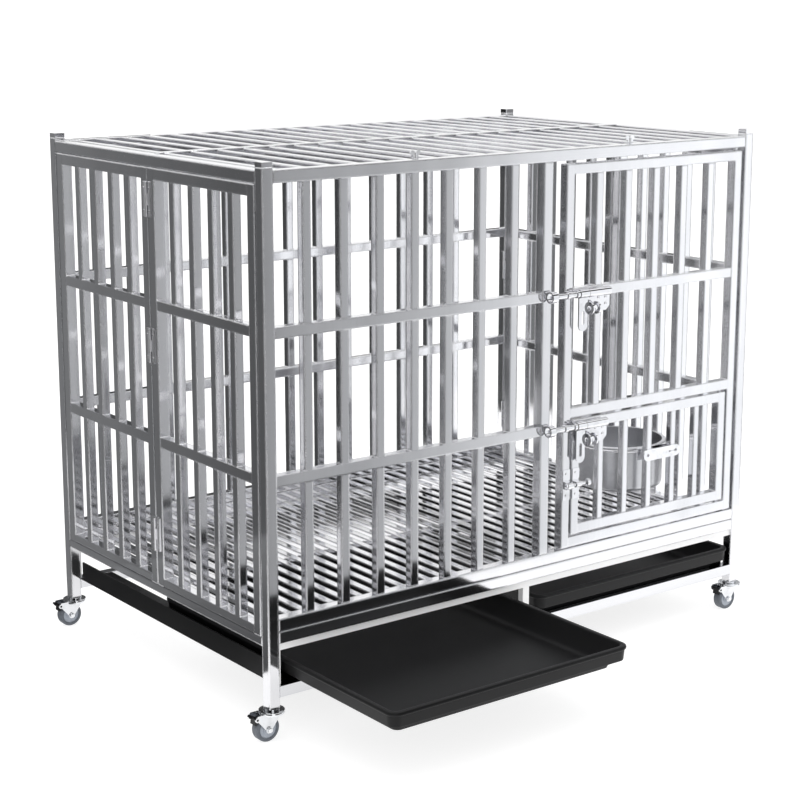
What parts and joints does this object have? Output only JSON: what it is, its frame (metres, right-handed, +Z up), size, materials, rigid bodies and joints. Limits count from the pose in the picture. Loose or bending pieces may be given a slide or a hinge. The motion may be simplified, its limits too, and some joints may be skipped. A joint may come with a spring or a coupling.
{
  "type": "dog_crate",
  "caption": "Heavy duty dog crate of square steel tube on swivel casters, with a bolted door, a feeding door with a hung bowl, folding side panels and pull-out trays.",
  "frame": {"origin": "on the ground, below the middle of the crate's frame", "axes": "+X to the right along the length, +Y from the doors to the back, +Z up"},
  "size_m": [1.1155, 0.986, 0.919],
  "materials": {
    "steel": "polished stainless steel",
    "fittings": "bright plated",
    "tray_plastic": "black satin",
    "wheel_rubber": "grey, matt",
    "pedal_plastic": "black"
  },
  "bodies": {
    "crate": {"front_left_post": "steel", "front_right_post": "steel", "back_left_post": "steel", "back_right_post": "steel", "post_caps": "fittings", "front_top_rail": "steel", "front_bottom_rail": "steel", "door_jamb": "steel", "front_bars": "steel", "back_frame": "steel", "back_bars": "steel", "top_frame": "steel", "top_bars": "steel", "top_screws": "fittings", "floor_frame": "steel", "floor_bars": "steel", "tray_frame": "steel", "tray_runners": "tray_plastic", "post_hinges": "fittings", "bolt_keepers": "fittings", "caster_stems": "fittings"},
    "big_door": {"big_door_frame": "steel", "big_door_bars": "steel", "upper_bolt_housing": "fittings", "feed_latch_keeper": "fittings"},
    "small_door": {"small_door_frame": "steel", "small_door_bars": "steel", "lower_bolt_housing": "fittings", "feed_latch_plate": "fittings", "bowl_ring": "steel", "bowl_clamp": "fittings"},
    "upper_bolt": {"upper_bolt": "fittings"},
    "upper_hasp": {"upper_hasp": "fittings"},
    "lower_bolt": {"lower_bolt": "fittings"},
    "lower_hasp": {"lower_hasp": "fittings"},
    "feed_bolt": {"feed_latch_bolt": "fittings"},
    "bowl": {"bowl": "steel"},
    "left_rear_leaf": {"left_rear_leaf": "steel", "left_rear_hinges": "fittings"},
    "left_front_leaf": {"left_front_leaf": "steel", "left_front_hinges": "fittings"},
    "right_rear_leaf": {"right_rear_leaf": "steel", "right_rear_hinges": "fittings"},
    "right_front_leaf": {"right_front_leaf": "steel", "right_front_hinges": "fittings"},
    "left_tray": {"left_tray": "tray_plastic"},
    "right_tray": {"right_tray": "tray_plastic"},
    "front_left_fork": {"front_left_fork": "fittings"},
    "front_left_wheel": {"front_left_wheel": "wheel_rubber"},
    "front_left_brake": {"front_left_brake": "pedal_plastic"},
    "front_right_fork": {"front_right_fork": "fittings"},
    "front_right_wheel": {"front_right_wheel": "wheel_rubber"},
    "front_right_brake": {"front_right_brake": "pedal_plastic"},
    "back_left_fork": {"back_left_fork": "fittings"},
    "back_left_wheel": {"back_left_wheel": "wheel_rubber"},
    "back_left_brake": {"back_left_brake": "pedal_plastic"},
    "back_right_fork": {"back_right_fork": "fittings"},
    "back_right_wheel": {"back_right_wheel": "wheel_rubber"},
    "back_right_brake": {"back_right_brake": "pedal_plastic"}
  },
  "joints": [
    {"name": "big_door_swing", "type": "hinge", "parent": "crate", "child": "big_door", "pos_m": [0.4995, -0.3375, 0.543], "axis": [0, 0, 1], "range_deg": [0, 100]},
    {"name": "small_door_swing", "type": "hinge", "parent": "big_door", "child": "small_door", "pos_m": [0.4775, -0.3375, 0.328], "axis": [0, 0, 1], "range_deg": [0, 75]},
    {"name": "upper_bolt_slide", "type": "slide", "parent": "big_door", "child": "upper_bolt", "axis": [1, 0, 0], "range_m": [-0.025, 0]},
    {"name": "upper_hasp_swing", "type": "hinge", "parent": "upper_bolt", "child": "upper_hasp", "pos_m": [0.111, -0.3565, 0.657], "axis": [-1, 0, 0], "range_deg": [0, 100]},
    {"name": "lower_bolt_slide", "type": "slide", "parent": "small_door", "child": "lower_bolt", "axis": [1, 0, 0], "range_m": [-0.025, 0]},
    {"name": "lower_hasp_swing", "type": "hinge", "parent": "lower_bolt", "child": "lower_hasp", "pos_m": [0.111, -0.3565, 0.423], "axis": [-1, 0, 0], "range_deg": [0, 100]},
    {"name": "feed_bolt_slide", "type": "slide", "parent": "small_door", "child": "feed_bolt", "axis": [1, 0, 0], "range_m": [-0.012, 0]},
    {"name": "bowl_lift", "type": "slide", "parent": "small_door", "child": "bowl", "axis": [0, 0, 1], "range_m": [0, 0.09]},
    {"name": "left_rear_fold", "type": "hinge", "parent": "crate", "child": "left_rear_leaf", "pos_m": [-0.512, 0.326, 0.533], "axis": [0, 0, 1], "range_deg": [0, 85]},
    {"name": "left_front_fold", "type": "hinge", "parent": "left_rear_leaf", "child": "left_front_leaf", "pos_m": [-0.538, 0, 0.533], "axis": [0, 0, 1], "range_deg": [-170, 0]},
    {"name": "right_rear_fold", "type": "hinge", "parent": "crate", "child": "right_rear_leaf", "pos_m": [0.512, 0.326, 0.533], "axis": [0, 0, -1], "range_deg": [0, 85]},
    {"name": "right_front_fold", "type": "hinge", "parent": "right_rear_leaf", "child": "right_front_leaf", "pos_m": [0.538, 0, 0.533], "axis": [0, 0, -1], "range_deg": [-170, 0]},
    {"name": "left_tray_slide", "type": "slide", "parent": "crate", "child": "left_tray", "axis": [0, -1, 0], "range_m": [-0.268, 0.137]},
    {"name": "right_tray_slide", "type": "slide", "parent": "crate", "child": "right_tray", "axis": [0, -1, 0], "range_m": [0, 0.405]},
    {"name": "front_left_swivel", "type": "hinge", "parent": "crate", "child": "front_left_fork", "pos_m": [-0.525, -0.3375, 0.048], "axis": [0, 0, 1], "continuous": true},
    {"name": "front_left_wheel_spin", "type": "hinge", "parent": "front_left_fork", "child": "front_left_wheel", "pos_m": [-0.537, -0.3375, 0.0215], "axis": [0, 1, 0], "continuous": true},
    {"name": "front_left_brake_press", "type": "hinge", "parent": "front_left_fork", "child": "front_left_brake", "pos_m": [-0.5585, -0.3375, 0.0422], "axis": [0, -1, 0], "range_deg": [0, 12]},
    {"name": "front_right_swivel", "type": "hinge", "parent": "crate", "child": "front_right_fork", "pos_m": [0.525, -0.3375, 0.048], "axis": [0, 0, 1], "continuous": true},
    {"name": "front_right_wheel_spin", "type": "hinge", "parent": "front_right_fork", "child": "front_right_wheel", "pos_m": [0.513, -0.3375, 0.0215], "axis": [0, 1, 0], "continuous": true},
    {"name": "front_right_brake_press", "type": "hinge", "parent": "front_right_fork", "child": "front_right_brake", "pos_m": [0.4915, -0.3375, 0.0422], "axis": [0, -1, 0], "range_deg": [0, 12]},
    {"name": "back_left_swivel", "type": "hinge", "parent": "crate", "child": "back_left_fork", "pos_m": [-0.525, 0.3375, 0.048], "axis": [0, 0, 1], "continuous": true},
    {"name": "back_left_wheel_spin", "type": "hinge", "parent": "back_left_fork", "child": "back_left_wheel", "pos_m": [-0.537, 0.3375, 0.0215], "axis": [0, 1, 0], "continuous": true},
    {"name": "back_left_brake_press", "type": "hinge", "parent": "back_left_fork", "child": "back_left_brake", "pos_m": [-0.5585, 0.3375, 0.0422], "axis": [0, -1, 0], "range_deg": [0, 12]},
    {"name": "back_right_swivel", "type": "hinge", "parent": "crate", "child": "back_right_fork", "pos_m": [0.525, 0.3375, 0.048], "axis": [0, 0, 1], "continuous": true},
    {"name": "back_right_wheel_spin", "type": "hinge", "parent": "back_right_fork", "child": "back_right_wheel", "pos_m": [0.513, 0.3375, 0.0215], "axis": [0, 1, 0], "continuous": true},
    {"name": "back_right_brake_press", "type": "hinge", "parent": "back_right_fork", "child": "back_right_brake", "pos_m": [0.4915, 0.3375, 0.0422], "axis": [0, -1, 0], "range_deg": [0, 12]}
  ],
  "couplings": [
    {"joint": "left_front_fold", "follows": "left_rear_fold", "ratio": -2},
    {"joint": "right_front_fold", "follows": "right_rear_fold", "ratio": -2}
  ]
}
